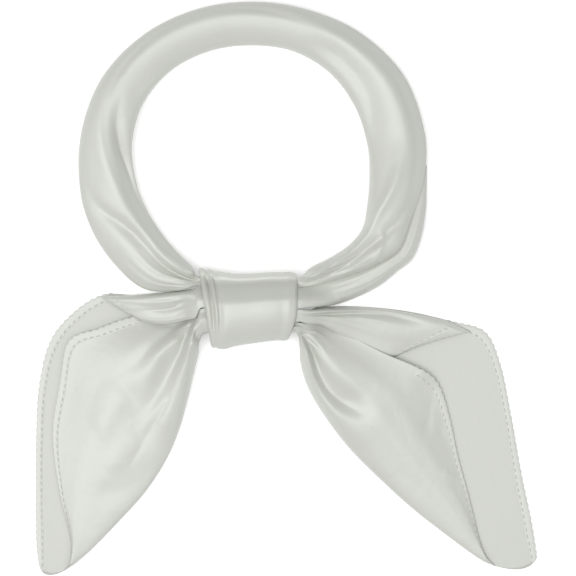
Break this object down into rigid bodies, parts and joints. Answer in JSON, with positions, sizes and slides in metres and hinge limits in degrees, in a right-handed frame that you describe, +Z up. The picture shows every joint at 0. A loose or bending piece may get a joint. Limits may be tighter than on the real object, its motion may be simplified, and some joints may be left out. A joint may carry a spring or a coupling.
{
  "type": "neckerchief",
  "caption": "Satin square neckerchief folded on the diagonal, rolled to a band and tied in a loop with a flat wrapped knot and flared tails.",
  "frame": {"origin": "on the table, under the middle of the kerchief's outline seen from above", "axes": "+Z up from the table, +Y from the knot towards the far side of the neck loop, +X to the side of the longer tail"},
  "size_m": [0.25, 0.2864, 0.022],
  "materials": {
    "satin": "pale grey-green satin, soft gloss",
    "hem": "the same satin, folded twice and stitched"
  },
  "bodies": {
    "root": {"neck_band": "satin", "band_under_fold": "satin", "knot_wrap": "satin", "tail_left": "satin", "tail_right": "satin", "flap_left": "satin", "flap_right": "satin", "hem_left_front": "hem", "hem_left_back": "hem", "hem_right_front": "hem", "hem_right_back": "hem", "hem_left_flap": "hem", "hem_right_flap": "hem"}
  },
  "joints": []
}
